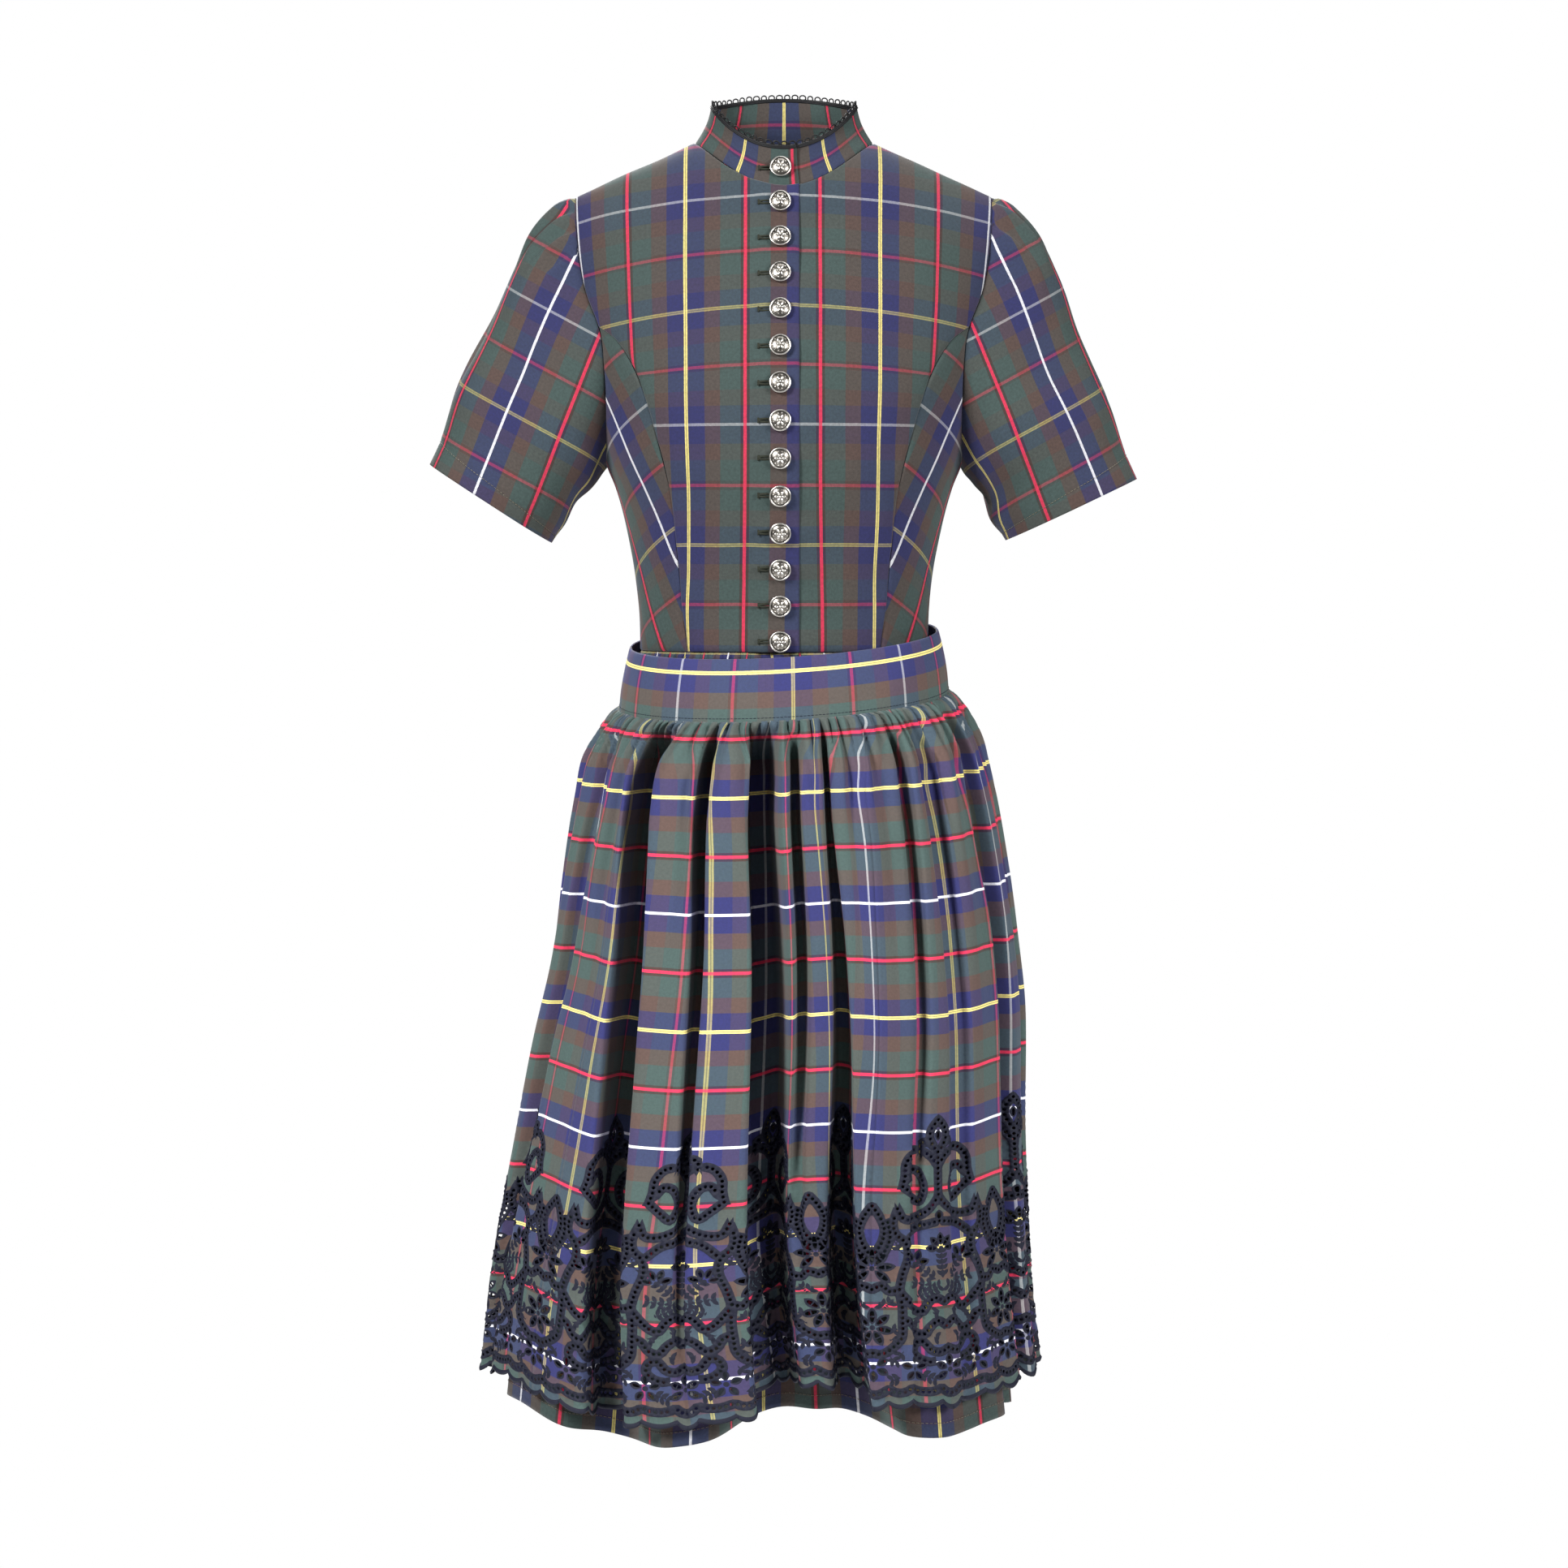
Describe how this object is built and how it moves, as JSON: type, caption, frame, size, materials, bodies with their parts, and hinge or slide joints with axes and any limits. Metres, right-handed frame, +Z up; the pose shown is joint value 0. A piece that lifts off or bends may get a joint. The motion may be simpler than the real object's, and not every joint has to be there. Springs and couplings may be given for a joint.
{
  "type": "dirndl",
  "caption": "Plaid dirndl with a stand collar, domed metal buttons, short gathered sleeves, a gathered skirt and a gathered apron with a scalloped cutwork border, hollow as worn.",
  "frame": {"origin": "middle of the neck opening, level with the inner ends of the shoulder seams, where the wearer's shoulders carry the dress", "axes": "+Z up, +X towards the wearer's left, +Y towards the wearer's back"},
  "size_m": [0.598, 0.3525, 1.1245],
  "materials": {
    "bodice_cloth": "matte tartan cotton, warp upright",
    "apron_cloth": "matte tartan cotton, warp across, with navy embroidery",
    "trim_lace": "black picot edging",
    "button_metal": "antique silver"
  },
  "bodies": {
    "root": {"front_right": "bodice_cloth", "front_left": "bodice_cloth", "side_front_right": "bodice_cloth", "side_front_left": "bodice_cloth", "back": "bodice_cloth", "collar": "bodice_cloth", "collar_trim": "trim_lace", "sleeve_right": "bodice_cloth", "sleeve_left": "bodice_cloth", "skirt": "bodice_cloth", "apron_band": "apron_cloth", "apron": "apron_cloth", "button_00": "button_metal", "button_01": "button_metal", "button_02": "button_metal", "button_03": "button_metal", "button_04": "button_metal", "button_05": "button_metal", "button_06": "button_metal", "button_07": "button_metal", "button_08": "button_metal", "button_09": "button_metal", "button_10": "button_metal", "button_11": "button_metal", "button_12": "button_metal", "button_13": "button_metal"}
  },
  "joints": []
}
